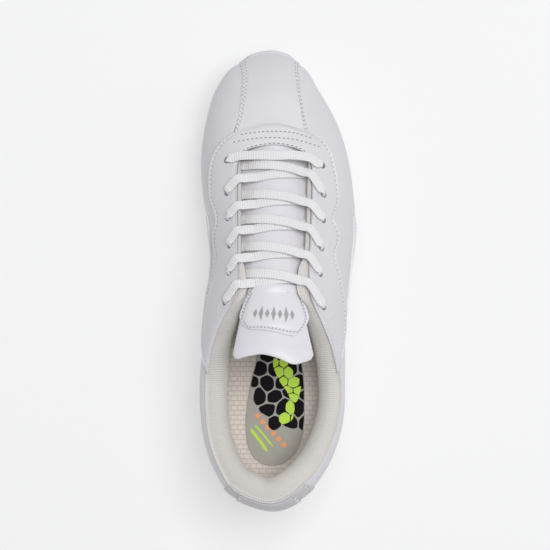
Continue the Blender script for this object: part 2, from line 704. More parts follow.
def placed(bm, place):
    """The same mesh with each point put where place(x, y, z) says."""
    for vert in bm.verts:
        vert.co = place(*vert.co)
    return bm


def evaluated(made):
    """Fixes an object's modifiers into its mesh."""
    mesh = bpy.data.meshes.new_from_object(made.evaluated_get(bpy.context.evaluated_depsgraph_get()))
    made.modifiers.clear()
    made.data = mesh
    mesh.name = made.name


SHOE, TONGUE_TOP, INSOLE_LAYER = "shoe", "tongue_top", "insole_layer"


def finished(name, bm, finishes, slot, replaces=(), body=SHOE, rounding=0.0, punches=None):
    """The finished object of a closed mesh in millimetres. rounding is its edges' bevel."""
    bmesh.ops.remove_doubles(bm, verts=bm.verts, dist=0.001)
    bmesh.ops.recalc_face_normals(bm, faces=bm.faces)
    if bm.calc_volume(signed=True) < 0:
        bmesh.ops.reverse_faces(bm, faces=bm.faces)
    bmesh.ops.scale(bm, vec=(MM, MM, MM), verts=bm.verts)
    mesh = bpy.data.meshes.new(name)
    bm.to_mesh(mesh)
    bm.free()
    mesh.shade_smooth()
    for made in (finishes if isinstance(finishes, (list, tuple)) else [finishes]):
        mesh.materials.append(made)
    piece = bpy.data.objects.new(name, mesh)
    scene.collection.objects.link(piece)
    if punches:
        cut = piece.modifiers.new("eyelets", "BOOLEAN")
        cut.operation, cut.object = "DIFFERENCE", punches
    if rounding:
        edge = piece.modifiers.new("cut_edges", "BEVEL")
        edge.width, edge.segments, edge.limit_method = rounding * MM, 2, "ANGLE"
        edge.angle_limit, edge.miter_outer = math.radians(48), "MITER_ARC"
    if punches or rounding:
        evaluated(piece)
    piece.data.shade_smooth()
    piece.data.set_sharp_from_angle(angle=math.radians(55))
    if body:
        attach(piece, body)
    if replaces:
        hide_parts(*replaces)
    print(f"{name}: {len(piece.data.polygons)} faces")
    return piece


def cut(name, grid, place, finishes, slot, replaces=(), wall=1, cloth=None, **how):
    """The finished object of a slab of grid (columns, rows) that is put where place says."""
    return finished(name, placed(slab(*grid, wall, cloth), place), finishes, slot, replaces, **how)


def on_layer(surface, first, last, low, high, layer, sunk=None):
    """A placer between two stations, two edges and two depths. low and high are numbers or functions of the
    station. sunk(x, y) is an extra depth, such as the channel under a stitch row."""

    def place(x, y, z):
        s = mix(first, last, x)
        bottom, top = (edge(s) if callable(edge) else edge for edge in (low, high))
        deeper = sunk(x, y) if sunk else 0.0
        return surface(s, mix(bottom, top, y), mix(layer[1], layer[0], z) + deeper)

    return place


def channel(away, deep=0.22, half=0.7):
    """How far the surface sinks at that many millimetres from a row of stitches."""
    return deep * math.exp(-((away / half) ** 2))


# %% [markdown]
# ## Stitches
#
# A lockstitch shows as short raised threads with a small hole at each end, where the needle went
# through. Each thread is a stretched low sphere and each hole a short dark slot. One helper walks along
# any line on the shoe and sets them at even steps, so every row on the shoe is made the same way.


# %% Stitch rows
def resampled(points, step):
    """Places at even steps along a line, with the direction there."""
    lengths = [0.0]
    for a, b in zip(points, points[1:]):
        lengths.append(lengths[-1] + (b - a).length)
    count = max(1, round(lengths[-1] / step))
    found, i = [], 0
    for n in range(count):
        at = (n + 0.5) * lengths[-1] / count
        while lengths[i + 1] < at:
            i += 1
        part = (at - lengths[i]) / (lengths[i + 1] - lengths[i])
        found.append((points[i].lerp(points[i + 1], part), (points[i + 1] - points[i]).normalized(), i))
    return found


def turned(place, ahead, up):
    """A matrix with x along ahead and z along up."""
    side = up.cross(ahead).normalized()
    up = ahead.cross(side)
    return Matrix.Translation(place) @ Matrix((ahead, side, up)).transposed().to_4x4()


NEEDLE_RADIUS = 0.36


def sew(bm, line, normals, step=2.6, thread=1.8, thick=0.36, hole_long=0.54, cross=False):
    """Adds a row of stitches to bm along a line of points. cross turns each one into an X."""
    for spot, ahead, i in resampled(line, step):
        up = normals[i]
        for angle in ((0.8, -0.8) if cross else (0.0,)):
            base = turned(spot + up * (0.08 + 0.1 * abs(angle)), Matrix.Rotation(angle, 3, up) @ ahead, up)
            size = Matrix.Diagonal((thread / 2, thick, thick * 0.8, 1))
            bmesh.ops.create_uvsphere(bm, u_segments=6, v_segments=4, radius=1, matrix=base @ size)
        slot = turned(spot + ahead * (step / 2) + up * 0.03, ahead, up)
        slot @= Matrix.Diagonal((hole_long / NEEDLE_RADIUS, 0.9, 1, 1))
        ends = bmesh.ops.create_cone(bm, cap_ends=True, segments=8, radius1=NEEDLE_RADIUS, radius2=0.32,
                                     depth=0.14, matrix=slot)
        for face in {f for v in ends["verts"] for f in v.link_faces}:
            face.material_index = 1


def sew_on_upper(bm, path, depth, **how):
    """A row along (s, w) pairs on the upper. depth is a number or a function of w."""
    deep = depth if callable(depth) else lambda w: depth
    sew(bm, [on_upper(s, w, deep(w)) for s, w in path], [upper_normal(s, w) for s, w in path], **how)


def sewn(name, bm, body=SHOE, hole=None):
    """The finished object of all the stitches in bm, threads first and needle holes second."""
    return finished(name, bm, [THREAD, hole or SHALLOW_HOLE], "lace_fabric", body=body)


print("stitch helper ready")

# %% [markdown]
# ## Outer leather
#
# The toe panel stands over the two side panels along the toe seams, with two rows of stitches just
# inside each edge. The eyestay lies over all three: it runs round the throat in one piece, with a
# scalloped outer edge. The seams were marked as lines seen from above, so each is found on the curved
# wall by stepping to the place that has that x and y.

# %% Toe seams
TOE_SEAM_LATERAL = [(11.8, 131.6), (12.3, 119.3), (14.9, 102.2), (18.9, 86.8), (21.0, 81.0)]
TOE_SEAM_MEDIAL = [(-22.6, 133.6), (-20.7, 124.2), (-21.3, 112.5), (-24.3, 96.8), (-28.0, 84.5)]
SEAM_GAP = 0.02
TOE_STANDS = 0.85  # how far the toe panel stands over its neighbours


def seam_on_upper(points, side, steps=16):
    """The toe seam as (station, w) pairs, from the toe tip back."""
    s, w, found = side * 0.7, 0.2, []
    x_of = [(-y, x) for x, y in points]
    for i in range(steps + 1):
        y = mix(points[0][1], points[-1][1], i / steps)
        s, w = upper_at(along(x_of, -y), y, s, w)
        found.append((abs(s), w))
    return found


LATERAL_SEAM = seam_on_upper(TOE_SEAM_LATERAL, 1)
MEDIAL_SEAM = seam_on_upper(TOE_SEAM_MEDIAL, -1)


def seam_station(seam, w):
    return along([(height, k) for k, height in seam], w)


def panel_top(seam, k):
    """The top of a side panel: along the toe seam, then under the eyestay to the throat."""
    return along(seam + [(seam[-1][0] + 0.25, 0.985)], k)


print("toe seams end at stations", round(LATERAL_SEAM[-1][0], 2), "and", round(MEDIAL_SEAM[-1][0], 2))

# %% Eyelets
EYESTAY_LATERAL = [(0, 0.84), (1.5, 0.82), (2.6, 0.74), (3.4, 0.64), (4.3, 0.58), (5.2, 0.55), (5.8, 0.64),
                   (6.3, 0.52), (6.9, 0.56), (7.6, 0.40), (8.4, 0.28), (9.2, 0.28), (9.8, 0.40), (10.3, 0.62),
                   (10.8, 0.94)]
EYESTAY_MEDIAL = [(0, 0.84), (1.5, 0.82), (2.6, 0.74), (3.3, 0.64), (4.3, 0.48), (5.1, 0.44), (5.8, 0.52),
                  (6.4, 0.36), (6.9, 0.40), (7.6, 0.22), (8.4, 0.10), (9.2, 0.12), (9.8, 0.30), (10.3, 0.58),
                  (10.8, 0.94)]
EYELET_Y = {-1: (69.5, 51.5, 36.4, 20.0, 3.8, -13.7), 1: (66.9, 50.4, 35.2, 18.4, 3.0, -16.3)}
EYELETS = len(EYELET_Y[1])
EYELET_ACROSS = 1.32
EYELET_RADIUS = 2.1


def eyelet(i, side):
    return station_of(EYELET_Y[side][i]), side * EYELET_ACROSS


def eyelet_punches():
    """The cutters of the twelve holes, as one helper object that is removed afterwards."""
    bm = bmesh.new()
    for i in range(EYELETS):
        for side in (-1, 1):
            where = eyelet(i, side)
            turn = instep_normal(*where).to_track_quat("Z", "Y").to_matrix().to_4x4()
            middle = Matrix.Translation(on_instep(*where, 1.0)) @ turn
            bmesh.ops.create_cone(bm, cap_ends=True, segments=28, radius1=EYELET_RADIUS,
                                  radius2=EYELET_RADIUS, depth=12, matrix=middle)
    bmesh.ops.scale(bm, vec=(MM, MM, MM), verts=bm.verts)
    mesh = bpy.data.meshes.new("eyelet_punches")
    bm.to_mesh(mesh)
    bm.free()
    made = bpy.data.objects.new("eyelet_punches", mesh)
    scene.collection.objects.link(made)
    made.hide_render = True
    return made


punches = eyelet_punches()
print("eyelets:", 2 * EYELETS)


# %% Side panels
def make_side_panel(name, side, seam, replaced):
    corner, last = seam[5][0] + SEAM_GAP, HEEL - 0.015

    def place(x, y, z):
        k = mix(corner, last, x)
        w = mix(-1, panel_top(seam, k) - (0.02 if k < seam[-1][0] else 0), y)
        front = min(corner, seam_station(seam, w) + SEAM_GAP)
        return on_upper(side * mix(front, last, x), w, mix(LEATHER, 0.0, z))

    return cut(name, (190, 46), place, WHITE_LEATHER, "white_leather", [replaced], rounding=0.3,
               punches=punches)


make_side_panel("quarter_medial", -1, MEDIAL_SEAM, "side_panel_medial")
make_side_panel("quarter_lateral", 1, LATERAL_SEAM, "side_panel_lateral")


# %% Toe panel
TOE_ROWS = (1.1, 3.1)  # millimetres from the seam to its two stitch rows


def toe_rise(w):
    """How far the toe panel stands over its neighbours, less where the eyestay covers it."""
    return TOE_STANDS * (1 - max(0, min(1, (w - 0.60) / 0.20)))


def toe_station(x, w):
    """The station at x, from 0 at the medial seam to 1 at the lateral one, at height w."""
    lap = mix(0.03, 0.10, smooth((w - 0.2) / 0.5))
    return mix(-lap - seam_station(MEDIAL_SEAM, w), seam_station(LATERAL_SEAM, w) + lap, x)


def make_toe_panel():
    def place(x, y, z):
        w = mix(-1, 0.93, y)
        wide = 34 + 14 * y
        side_away = min(x, 1 - x) * wide
        sunk = z * (sum(channel(side_away - row, 0.3) for row in TOE_ROWS) - channel(side_away, 0.25, 0.6))
        return on_upper(toe_station(x, w), w, mix(LEATHER, 0.0, z) - toe_rise(w) + sunk)

    return cut("toe_centre", (84, 110), place, WHITE_LEATHER, "white_leather", ["toe_panel"], rounding=0.3)


make_toe_panel()


# %% Eyestay
STITCH_INSET = 1.6


def eyestay_outer(s):
    return along(EYESTAY_LATERAL if s > 0 else EYESTAY_MEDIAL, abs(s))


EYESTAY_END = EYESTAY_LATERAL[-1][0]
EYESTAY_WIDE = 24.0  # about how wide it is, in millimetres
EYESTAY_LAYER = (-0.6 - OVERLAY, -0.3)


def make_eyestay():
    def sunk(x, y):
        outer, inner = EYESTAY_WIDE * y, EYESTAY_WIDE * (1 - y)
        bead = channel(outer - 0.2, 0.35, 0.7)
        return channel(outer - STITCH_INSET, 0.55, 0.7) + channel(inner - STITCH_INSET, 0.3, 0.8) - bead

    place = on_layer(on_upper, -EYESTAY_END, EYESTAY_END, eyestay_outer, 0.992, EYESTAY_LAYER, sunk)
    return cut("eyestay_leather", (420, 34), place, WHITE_LEATHER, "white_leather", ["eyestay"],
               rounding=0.35, punches=punches)


make_eyestay()


# %% Pressed rims of the last pair of eyelets
def make_pressed_rim(name, side, half_across=0.20, half_along=7.2, thick=0.75):
    """An oval bead pressed into the leather round the last eyelet, standing a little proud."""
    _, across = eyelet(EYELETS - 1, side)
    y_middle = EYELET_Y[side][-1]
    bm = bmesh.new()
    bmesh.ops.create_grid(bm, x_segments=64, y_segments=12, size=0.5)
    bmesh.ops.translate(bm, vec=(0.5, 0.5, 0), verts=bm.verts)

    def place(x, y, z):
        turn, lap = 2 * math.pi * x, 2 * math.pi * y
        grow = 1 + 0.11 * math.cos(lap)
        a = across + half_across * grow * math.cos(turn)
        station = station_of(round(y_middle + half_along * grow * math.sin(turn), 6))
        return on_instep(station, a, EYESTAY_LAYER[0] - 0.42 * thick * math.sin(lap))

    return finished(name, placed(bm, place), WHITE_LEATHER, "white_leather")


make_pressed_rim("pressed_rim_medial", -1)
make_pressed_rim("pressed_rim_lateral", 1)


# %% Bands and heel pieces
BAND_ENDS = (5.7, 9.6)


def on_band(side, x, edge, depth):
    """A place on a side band: x runs back along it and edge is -1 to 1 across it. Its heights are in
    millimetres above the widest line, below which the wall is shorter."""
    high = mix(11.0, -13.5, x) + 4.6 * math.sin(math.pi * (0.06 + 0.88 * x)) ** 0.5 * edge
    return on_upper(side * mix(*BAND_ENDS, x), high / (63 if high > 0 else 27), depth)


def make_band(name, side, replaced):
    """A plain raised double band on the side panel."""

    def place(x, y, z):
        return on_band(side, x, 2 * y - 1, mix(0.2, -1.1, z) + z * channel(2 * y - 1, 0.68, 0.30))

    return cut(name, (160, 30), place, TRIM_LEATHER, "white_leather", [replaced], rounding=0.25)


make_band("raised_band_medial", -1, "side_band_medial")
make_band("raised_band_lateral", 1, "side_band_lateral")


HEEL_LAYER = (-1.0, 0.1)


def make_heel_cover():
    def sunk(x, y):
        wide, tall = 56, 58
        aside, down = min(x, 1 - x) * wide, (1 - y) * tall
        return channel(aside - STITCH_INSET, 0.2, 0.8) + channel(down - STITCH_INSET, 0.2, 0.8)

    place = on_layer(on_upper, HEEL - 1.35, HEEL + 1.3, -0.95, 0.93, HEEL_LAYER, sunk)
    return cut("heel_cover", (90, 80), place, HEEL_LEATHER, "white_leather", ["heel_overlay"], rounding=0.35)


def make_heel_patch():
    layer = (HEEL_LAYER[0] - 0.9, HEEL_LAYER[0] + 0.1)

    def sunk(x, y):
        return channel(min(min(x, 1 - x) * 34, min(y, 1 - y) * 30) - 1.6, 0.25, 0.6)

    place = on_layer(on_upper, HEEL - 0.8, HEEL + 0.85, -0.25, 0.8, layer, sunk)
    return cut("heel_patch", (60, 50), place, HEEL_LEATHER, "white_leather", ["heel_tab"], rounding=0.4)


make_heel_cover()
make_heel_patch()

# %% [markdown]
# ## Linings and the padded collar
#
# A thin cloth lines the front of the shoe and shows as a cream binding along the throat. Round the
# opening the lining becomes a padded roll in ribbed knit, and below the roll it is a beige checked
# cloth that runs down to the footbed. The roll is a closed form between the leather and its own inner
# face. Cloth simulation with a little inner pressure swells the face between the places where it is
# sewn down, and a cap keeps it off its neighbours.

# %% Front lining
LINING_LAYER = (LEATHER + 0.6, LEATHER + 0.6 + TEXTILE)
PUFF_ROOM = 1.5  # how much deeper the lining lies behind the toe's stiffener


def make_front_lining():
    end = 8.75

    def lined(s, w, depth):
        behind_puff = max(0, min(1, (0.75 - w) / 0.2)) * max(0, min(1, (3.6 - abs(s)) / 0.6))
        return on_upper(s, w, depth + PUFF_ROOM * behind_puff)

    place = on_layer(lined, -end, end, -0.96, lambda s: 1.03 if abs(s) > 3.5 else 0.99, LINING_LAYER)
    return cut("front_lining", (170, 44), place, CREAM_WEAVE, "cream_textile", ["vamp_lining"],
               cloth=(330, 60), rounding=0.2, punches=punches)


make_front_lining()


# %% Throat binding
def make_binding(name, side):
    """The folded cream edge that shows inside the leather along the throat, wider towards the collar."""

    def place(x, y, z):
        k = mix(3.6, 8.5, x)
        wide = along([(3.6, 0.035), (4.4, 0.085), (6.8, 0.09), (7.2, 0.24), (7.9, 0.30), (8.5, 0.12)], k)
        sunk = 0.5 * smooth((k - 6.8) / 0.4)
        over, lift = mix(1.02, 1.0 - wide, y), 0.55 * math.sin(math.pi * min(1, y * 1.1))
        return on_instep(k, side * over, mix(1.55, 0.35, z) - lift * z + sunk * y)

    return cut(name, (230, 10), place, CREAM_KNIT, "cream_textile", cloth=(125, 4), rounding=0.35)


make_binding("throat_binding_medial", -1)
make_binding("throat_binding_lateral", 1)


# %% Swelling a padded piece
SIM_SCALE = 0.01  # a millimetre becomes a centimetre, because cloth behaves better at furniture size


def swollen(place, columns, rows, free, pressure, cap, frames=20):
    """How far each point of a padded slab moves under inner pressure, as a function of its (x, y, z).

    A coarse copy of the slab is simulated. free(x, y, z) says how freely a point may move, from 0, sewn
    down, to 1, and cap is the most that it may move, in millimetres."""
    bm = slab(columns, rows)
    flat = [tuple(v.co) for v in bm.verts]
    placed(bm, place)
    bmesh.ops.recalc_face_normals(bm, faces=bm.faces)
    if bm.calc_volume(signed=True) < 0:
        bmesh.ops.reverse_faces(bm, faces=bm.faces)
    bmesh.ops.scale(bm, vec=(SIM_SCALE,) * 3, verts=bm.verts)
    mesh = bpy.data.meshes.new("swelling")
    bm.to_mesh(mesh)
    bm.free()
    copy = bpy.data.objects.new("swelling", mesh)
    scene.collection.objects.link(copy)
    held = copy.vertex_groups.new(name="held")
    for i, spot in enumerate(flat):
        held.add([i], 1 - smooth(free(*spot)), "REPLACE")
    cloth = copy.modifiers.new("swelling", "CLOTH")
    settings = cloth.settings
    settings.quality, settings.mass = 6, 0.2
    settings.tension_stiffness = settings.compression_stiffness = 8
    settings.shear_stiffness, settings.bending_stiffness = 3, 0.3
    settings.use_pressure, settings.uniform_pressure_force = True, pressure
    settings.effector_weights.gravity = 0
    settings.vertex_group_mass = "held"
    cloth.point_cache.frame_start, cloth.point_cache.frame_end = 1, frames
    for step in range(1, frames + 1):
        scene.frame_set(step)
    result = copy.evaluated_get(bpy.context.evaluated_depsgraph_get()).data
    moved, most = {}, 0.0
    for i, (x, y, z) in enumerate(flat):
        step = (result.vertices[i].co - mesh.vertices[i].co) / SIM_SCALE
        if step.length > cap:
            step *= cap / step.length
        most = max(most, step.length)
        moved[round(x * columns), round(y * rows), round(z)] = step * smooth(free(x, y, z))
    bpy.data.objects.remove(copy)
    bpy.data.meshes.remove(mesh)
    scene.frame_set(1)
    print("swelled by at most", round(most, 2), "mm")

    def offset(x, y, z):
        i, j = min(int(x * columns), columns - 1), min(int(y * rows), rows - 1)
        part_x, part_y = x * columns - i, y * rows - j
        rows_of = [[mix(moved[i, row, k], moved[i + 1, row, k], part_x) for row in (j, j + 1)]
                   for k in (0, 1)]
        below, above = (mix(near, far, part_y) for near, far in rows_of)
        return mix(below, above, z)

    return offset


def padded_place(place, offset):
    return lambda x, y, z: place(x, y, z) + offset(x, y, z)


# %% Collar roll
COLLAR_START = 7.15


def make_collar_roll():
    """The knitted roll round the opening, from the leather's edge to where the checked cloth begins."""
    first, last = COLLAR_START, ROUND - COLLAR_START
    def place(x, y, z):
        s = mix(first, last, x)
        near_end = smooth(min(s - first, last - s) / 0.9)
        v = mix(-0.05, 0.56, y)
        inner = on_collar(s, v, 0.0)
        panel = on_upper(s, mix(0.985, 0.30, y), LEATHER + 0.5)
        return mix(mix(panel, inner, 0.25 * z), mix(panel, inner, z), near_end)

    def free(x, y, z):
        """The inner face swells, away from the leather's edge and the lower seam."""
        return z * min(1.0, min(x, 1 - x) / 0.06) * max(0.0, min(y - 0.04, 0.94 - y) / 0.2)

    swelling = swollen(place, 100, 12, free, pressure=6.0, cap=1.4)
    roll = cut("collar_roll", (300, 34), padded_place(place, swelling), CREAM_KNIT, "cream_textile",
               ["collar_lining", "collar_foam"], cloth=(310, 34))
    return roll


make_collar_roll()


# %% Checked lining below the roll
def make_checked_lining():
    first, last = 8.8, ROUND - 8.8
    place = on_layer(on_collar, first, last, 0.965, 0.50, (0.25, 1.2))
    return cut("checked_lining", (260, 30), place, BEIGE_CLOTH, "cream_textile", cloth=(285, 48),
               rounding=0.3)


make_checked_lining()

# %% [markdown]
# ## Tongue
#
# The tongue is one long padded piece: sewn under the toe panel, crowned in the throat, narrow where it
# leaves the eyestay, and free behind the last eyelets. The free part turns with the body
# `tongue_top`, so the whole piece bends across that joint. Its outer face is leather and its underside
# is knit, and it thins to a rounded edge all round. On top lies a stitched label with a plain grey mark.

# %% Tongue shape
TONGUE_HINGE = 7.9
TONGUE_FLAP = 43.0
TONGUE_RISE = math.radians(21)
TONGUE_THICK = 4.5
FLAP_HALF = (0.94, 26.0)


# The depth under the instep as (across, depth). The first point mirrors the third, for a level middle.
TONGUE_DEPTHS = [(-0.5, 4.2), (0, 3.3), (0.5, 4.2), (0.9, 5.4), (1.4, 5.4), (1.6, 7.9), (2, 7.9)]
TONGUE_ROOT = Vector((0, 11.0, -2.6))  # how far the sewn end runs on under the toe panel


def tongue_depth(across):
    """The tongue's face lies lower where the lace tucks in beside it."""
    return along(TONGUE_DEPTHS, abs(across))


def tongue_base_point(k, across, depth):
    return on_instep(k, across, tongue_depth(across) + depth)


FLAP_END = [(-1, 38.2), (-0.87, 40.8), (-0.5, 39.6), (-0.2, 38.6), (0.1, 40.6), (0.45, 44.6), (0.7, 43.4),
            (0.93, 41.0), (1, 38.4)]


def tongue_flap_point(far, across, depth):
    """The flap: far runs from 0 at the flex line to 1 at its wavy free end."""
    root = tongue_base_point(TONGUE_HINGE, across * FLAP_HALF[0], depth)
    middle = tongue_base_point(TONGUE_HINGE, 0, 0)
    edge = tongue_base_point(TONGUE_HINGE, FLAP_HALF[0], 0)
    widen = mix(1, FLAP_HALF[1] / (edge - middle).to_2d().length, far)
    from_middle = root - middle
    run = far * mix(TONGUE_FLAP, along(FLAP_END, across), smooth(far))
    return middle + Vector((from_middle.x * widen, from_middle.y - run * math.cos(TONGUE_RISE),
                            from_middle.z * mix(1, 1.15, far) + run * math.sin(TONGUE_RISE)))


TONGUE_FIRST = 3.45
TONGUE_BASE_SHARE = 0.66  # part of the slab's length that is in front of the flex line
TONGUE_FRONT = 0.08  # part of it that runs on under the toe end of the throat


def tongue_place(x, y, z):
    across = 2 * x - 1
    if y < TONGUE_BASE_SHARE:
        k = mix(TONGUE_FIRST, TONGUE_HINGE, max(0, y - TONGUE_FRONT) / (TONGUE_BASE_SHARE - TONGUE_FRONT))
        ahead = 1 - min(1, y / TONGUE_FRONT)
        reach = along([(3.4, 1.1), (4.2, 1.7), (6.9, 1.7), (7.5, 1.25), (7.9, FLAP_HALF[0])], k)
        place = tongue_base_point(k, reach * across, mix(TONGUE_THICK, 0.0, z))
        return place + TONGUE_ROOT * ahead
    far = (y - TONGUE_BASE_SHARE) / (1 - TONGUE_BASE_SHARE)
    from_side, from_end = (1 - abs(across)) * 24, (1 - far) * 40
    thin = 1 - min(1.0, min(from_side, from_end) / 5.0)
    thin = thin * thin * smooth(far / 0.2)
    depth = mix(mix(TONGUE_THICK, 3.2, thin), mix(0.0, 1.0, thin), z)
    return tongue_flap_point(far, across, depth)


def bend_with_tongue(piece):
    """Bends a piece across the flex line, in front of which it belongs to the shoe."""
    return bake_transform(piece)


def make_tongue():
    def free(x, y, z):
        """The flap swells at its rim and underneath, away from the flex line and from the label on top."""
        behind = min(1.0, max(0.0, (y - TONGUE_BASE_SHARE - 0.04) / 0.06))
        under_label = 1 - z * smooth((0.93 - y) / 0.03)
        return behind * under_label * min(1.0, min(x, 1 - x) / 0.10) * max(0.0, min(1.0, (1.0 - y) / 0.03))

    swelling = swollen(tongue_place, 28, 60, free, pressure=6.0, cap=0.9)
    bm = slab(84, 150, wall=3, cloth=(56, 128))
    for face in bm.faces:
        if face.normal.z < -0.5:
            face.material_index = 1
    replaced = ["tongue_face", "tongue_foam", "tongue_lining", "tongue_flap_face", "tongue_flap_foam",
                "tongue_flap_lining"]
    piece = finished("tongue_pad", placed(bm, padded_place(tongue_place, swelling)),
                     [TONGUE_LEATHER, CREAM_KNIT], "white_leather", replaced, body=None, rounding=0.5)
    return bend_with_tongue(piece)


make_tongue()

# %% Label
LABEL_HALF = [(0, 14.6), (0.25, 19.0), (0.60, 23.3), (0.72, 22.8), (0.90, 17.6), (1, 12.0)]  # half width, mm
STATION_MM = 20.5  # length of one station along the throat there
LABEL_LONG = 33.0


def label_at(x, y, depth):
    """A point of the label. y runs from 0 at the last lace crossing to 1 at the label's rear edge."""
    across = 2 * x - 1
    run = mix(-5.5, 25.5 + 1.0 * across, y)
    wide = along(LABEL_HALF, y) * across + mix(2.8, 0.9, y)
    if run < 0:
        return tongue_base_point(TONGUE_HINGE + run / STATION_MM, wide / 21.0, depth)
    far = run / TONGUE_FLAP
    return tongue_flap_point(far, wide / mix(21.0 / 0.94, FLAP_HALF[1], far), depth)


def make_label():
    def place(x, y, z):
        away = min(min(x, 1 - x) * 40, min(y + 0.1, 1 - y) * LABEL_LONG)
        crown = 0.55 * smooth(away / 6.0)
        return label_at(x, y, mix(-0.15, -1.15 - crown + channel(away - 2.2, 0.5, 0.8), z))

    piece = cut("tongue_patch", (90, 80), place, TRIM_LEATHER, "label_leather", ["tongue_label"], body=None,
                rounding=0.35)
    return bend_with_tongue(piece)


make_label()


def label_row(inset=2.2):
    """The stitch line just inside the label's outline."""
    a, b = inset / 40, inset / LABEL_LONG
    side_steps, end_steps = [i / 12 for i in range(13)], [i / 14 for i in range(15)]
    left = [(a, mix(0.02, 1 - b, t)) for t in side_steps]
    rear = [(mix(a, 1 - a, t), 1 - b) for t in end_steps[1:-1]]
    right = [(1 - a, mix(1 - b, 0.02, t)) for t in side_steps]
    return [label_at(x, y, -1.35) for x, y in left + rear + right]


bm = bmesh.new()
row = label_row()
sew(bm, row, [Vector((0, 0.36, 0.93))] * len(row), step=2.2, thread=1.5, thick=0.28)
bend_with_tongue(sewn("label_stitches", bm, body=None))


# %% Plain mark on the label
def make_mark(count=7):
    """A row of grey lozenges printed across the label."""
    bm = bmesh.new()
    for i in range(count):
        x = mix(0.27, 0.73, i / (count - 1))
        tall = 0.16 if i % 2 else 0.10
        corners = bmesh.ops.create_circle(bm, cap_ends=True, segments=4, radius=1.0)["verts"]
        bmesh.ops.scale(bm, vec=(0.028, tall, 1), verts=corners)
        bmesh.ops.translate(bm, vec=(x, 0.62, 0), verts=corners)
    bmesh.ops.subdivide_edges(bm, edges=bm.edges[:], cuts=3, use_grid_fill=True)
    raised = bmesh.ops.extrude_face_region(bm, geom=bm.faces[:], use_keep_orig=True)["geom"]
    bmesh.ops.translate(bm, vec=UP, verts=[g for g in raised if isinstance(g, bmesh.types.BMVert)])
    placed(bm, lambda x, y, z: label_at(x, y, mix(-1.5, -1.86, z)))
    return finished("label_mark", bm, GREY_MARK, "label_leather", body=TONGUE_TOP)


make_mark()

# %% [markdown]
# ## Lace
#
# One flat cotton lace, about six millimetres wide, runs through all twelve holes. It starts under the
# eyestay, comes to the front bar across the toe end of the throat and then crosses over and under
# itself back to the last pair, where both ends are tucked forwards under the eyestay and folded. Each
# crossing strand leaves from under one side and lands on top of the other. Its route is the same list
# of places that its solid was made from. A flat ribbon with rounded edges is swept along it, and its
# UV map follows the lace in millimetres so that the braid does too.

# %% Lace route
LACE_WIDTH, LACE_THICK = 6.0, 1.3
LACE_IN_HOLE = (3.3, 1.8)
ACROSS_MM = 27.0
UNDER_LACE = LINING_LAYER[1] + 0.65 + LACE_THICK / 2
OVER_LACE = EYESTAY_LAYER[0] - 0.6 - LACE_THICK / 2
STRAND_DROP = 6.8
OVER_STRAND = [(-0.84, UNDER_LACE), (-0.7, 3.0), (-0.5, 1.75), (-0.25, 0.85), (0, 0.6), (0.4, 0.6),
               (0.75, -0.9), (0.95, OVER_LACE)]
UNDER_STRAND = [(-0.84, UNDER_LACE), (-0.55, 3.1), (-0.3, 2.5), (0, 2.3), (0.35, 2.4), (0.47, 2.2),
                (0.62, 0.5), (0.78, -1.0), (0.95, OVER_LACE)]
TUCK_ACROSS, TUCK_LEFT, FOLD_DEPTH = 1.72, 32.0, LACE_THICK + 2 * GAP


def through_eyelet(i, side, ahead, leave=(0, -1)):
    """The lace's points down through an eyelet, as (y, across, depth, share of full width)."""
    y, inwards = EYELET_Y[side][i], EYELET_ACROSS - 0.95
    slant = math.hypot(ahead, inwards * ACROSS_MM)
    route = []
    for away, lift, share in [(5.2, -0.1, 1.0), (3.2, -0.35, 0.8), (1.3, 0.1, 0.35)]:
        part = away / slant
        route.append((y + ahead * part, side * (EYELET_ACROSS - inwards * part), OVER_LACE + lift, share))
    route += [(y, side * EYELET_ACROSS, depth, 0.0) for depth in (-0.3, 1.3, 2.9)]
    for away, lift, share in [(1.3, -0.1, 0.0), (3.2, 0.3, 0.35), (5.2, 0.1, 0.85)]:
        across = EYELET_ACROSS + away * leave[1] / ACROSS_MM
        route.append((y + away * leave[0], side * across, UNDER_LACE + lift, share))
    return route


def strand(i, side):
    """From under the throat edge at eyelet i on that side, over the tongue and the other edge."""
    shift = -1.0 if side < 0 else 1.2
    drops = [(-0.84, shift), (0, 1.0 + shift), (0.5, 3.1 + shift), (0.95, STRAND_DROP)]
    return [(EYELET_Y[side][i] - along(drops, across), -side * across, depth, 1.0)
            for across, depth in (OVER_STRAND if side < 0 else UNDER_STRAND)]


def tucked_end(side):
    """The free end under the eyestay: forwards, folded over, and back again."""
    last, deep, front = EYELET_Y[side][-1], UNDER_LACE + FOLD_DEPTH, 46.0
    corner = [(last + 9, 1.44, UNDER_LACE, 0.95), (last + 13, 1.60, UNDER_LACE, 1.0)]
    there = [(mix(last + 18, front, t / 6), TUCK_ACROSS, UNDER_LACE, 1.0) for t in range(7)]
    fold = [(front + 1.2, TUCK_ACROSS, mix(UNDER_LACE, deep, 0.5), 1.0)]
    back = [(mix(front, last + TUCK_LEFT, t / 3), TUCK_ACROSS, deep, 1.0) for t in range(4)]
    return [(y, side * a, d, w) for y, a, d, w in corner + there + fold + back]


def half_lace(side):
    route = through_eyelet(0, side, 4.5)
    for i in range(1, EYELETS):
        route += strand(i - 1, side)
        ahead = EYELET_Y[side][i - 1] - STRAND_DROP - EYELET_Y[-side][i]
        side = -side
        route += through_eyelet(i, side, ahead, (0, -1) if i < EYELETS - 1 else (1, 0.2))
    return route + tucked_end(side)


def lace_route():
    """The whole lace, from one free end to the other."""
    bar = [(74.0, -0.95, OVER_LACE, 1.0), (75.0, -0.5, -1.7, 1.0), (75.3, 0, -1.3, 1.0),
           (75.0, 0.5, -1.7, 1.0), (73.0, 0.95, OVER_LACE, 1.0)]
    return half_lace(-1)[::-1] + bar + half_lace(1)


